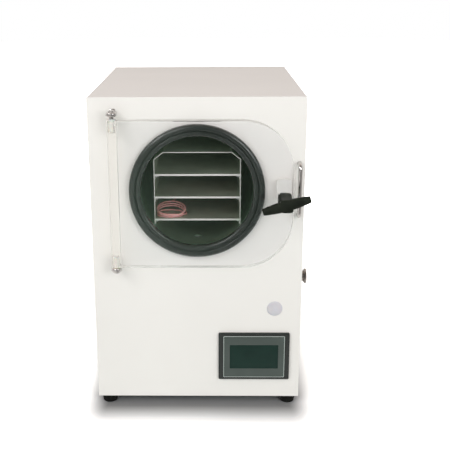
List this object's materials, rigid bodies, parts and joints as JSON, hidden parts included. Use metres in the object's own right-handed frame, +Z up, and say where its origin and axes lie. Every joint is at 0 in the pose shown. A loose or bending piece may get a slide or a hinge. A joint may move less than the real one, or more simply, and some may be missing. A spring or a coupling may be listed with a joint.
{
  "type": "freeze dryer",
  "caption": "Bench-top freeze dryer: white steel cabinet, round vacuum chamber with a rack of heated shelves, and a clear swing door with a T-handle latch.",
  "frame": {"origin": "floor level under the middle of the cabinet's footprint, in the plane of the four feet", "axes": "+Z up, the front with the door faces -Y, +X to the right of someone facing the front"},
  "size_m": [0.4178, 0.6493, 0.617],
  "materials": {
    "white_paint": "satin powder coat",
    "galvanised": "dull",
    "stainless": "brushed",
    "polished": "polished",
    "gasket_rubber": "semi-gloss",
    "foot_rubber": "matte",
    "foam": "matte",
    "copper": "dull",
    "clear_acrylic": "polished",
    "white_plastic": "satin",
    "bush_plastic": "satin",
    "handle_plastic": "satin",
    "display_plastic": "satin",
    "display_glass": "gloss",
    "plug_plastic": "satin",
    "lead_silicone": "satin",
    "heater_silicone": "matte",
    "black_enamel": "semi-gloss",
    "fan_plastic": "matte",
    "board_laminate": "satin",
    "valve_brass": "satin",
    "lever_paint": "satin",
    "fin_aluminium": "satin"
  },
  "bodies": {
    "cabinet": {"base_pan": "galvanised", "wrap_cover": "white_paint", "side_vents": "white_paint", "front_panel": "white_paint", "back_panel": "white_paint", "mid_deck": "galvanised", "cover_screws": "polished", "foot_front_left": "foot_rubber", "foot_front_right": "foot_rubber", "foot_rear_left": "foot_rubber", "foot_rear_right": "foot_rubber", "foot_screws": "polished", "chamber_drum": "stainless", "door_gasket": "gasket_rubber", "evaporator_coil": "copper", "chamber_insulation": "foam", "drum_saddles": "galvanised", "rack_frame": "stainless", "shelf_lower": "stainless", "shelf_middle": "stainless", "shelf_upper": "stainless", "heater_mats": "heater_silicone", "rack_screws": "polished", "rack_nuts": "polished", "lead_gland": "polished", "probe_lead": "lead_silicone", "probe_coil": "lead_silicone", "probe_tip": "polished", "hinge_eye_upper": "polished", "hinge_eye_lower": "polished", "hinge_pins": "polished", "hinge_nuts": "polished", "strike_bar": "polished", "strike_nuts": "polished", "display_bezel": "display_plastic", "display_screen": "display_glass", "hole_plug": "plug_plastic", "vacuum_port": "polished", "vacuum_line": "stainless", "drain_line": "stainless", "drain_valve": "valve_brass", "power_inlet": "fan_plastic", "compressor": "black_enamel", "compressor_grommets": "foot_rubber", "condenser": "fin_aluminium", "fan_housing": "fan_plastic", "filter_drier": "copper", "refrigerant_lines": "copper", "control_board": "board_laminate"},
    "door": {"door_plate": "clear_acrylic", "hinge_stile": "white_plastic", "hinge_bushes": "bush_plastic", "latch_bush": "bush_plastic"},
    "latch": {"tee_handle": "handle_plastic", "latch_shaft": "polished", "latch_pawl": "stainless", "latch_nut": "polished"},
    "fan": {"fan_rotor": "fan_plastic"},
    "drain_lever": {"drain_lever": "lever_paint"},
    "rocker": {"power_rocker": "fan_plastic"}
  },
  "joints": [
    {"name": "door_hinge", "type": "hinge", "parent": "cabinet", "child": "door", "pos_m": [-0.1522, -0.2693, 0.443], "axis": [0, 0, -1], "range_deg": [0, 170]},
    {"name": "handle_turn", "type": "hinge", "parent": "door", "child": "latch", "pos_m": [0.16, -0.2693, 0.435], "axis": [0, 1, 0], "range_deg": [0, 90]},
    {"name": "fan_spin", "type": "hinge", "parent": "cabinet", "child": "fan", "pos_m": [0.09, 0.17, 0.145], "axis": [0, 1, 0], "continuous": true},
    {"name": "drain_lever_turn", "type": "hinge", "parent": "cabinet", "child": "drain_lever", "pos_m": [0, 0.267, 0.2765], "axis": [0, 0, 1], "range_deg": [0, 90]},
    {"name": "rocker_tip", "type": "hinge", "parent": "cabinet", "child": "rocker", "pos_m": [-0.15, 0.241, 0.104], "axis": [-1, 0, 0], "range_deg": [0, 22]}
  ]
}
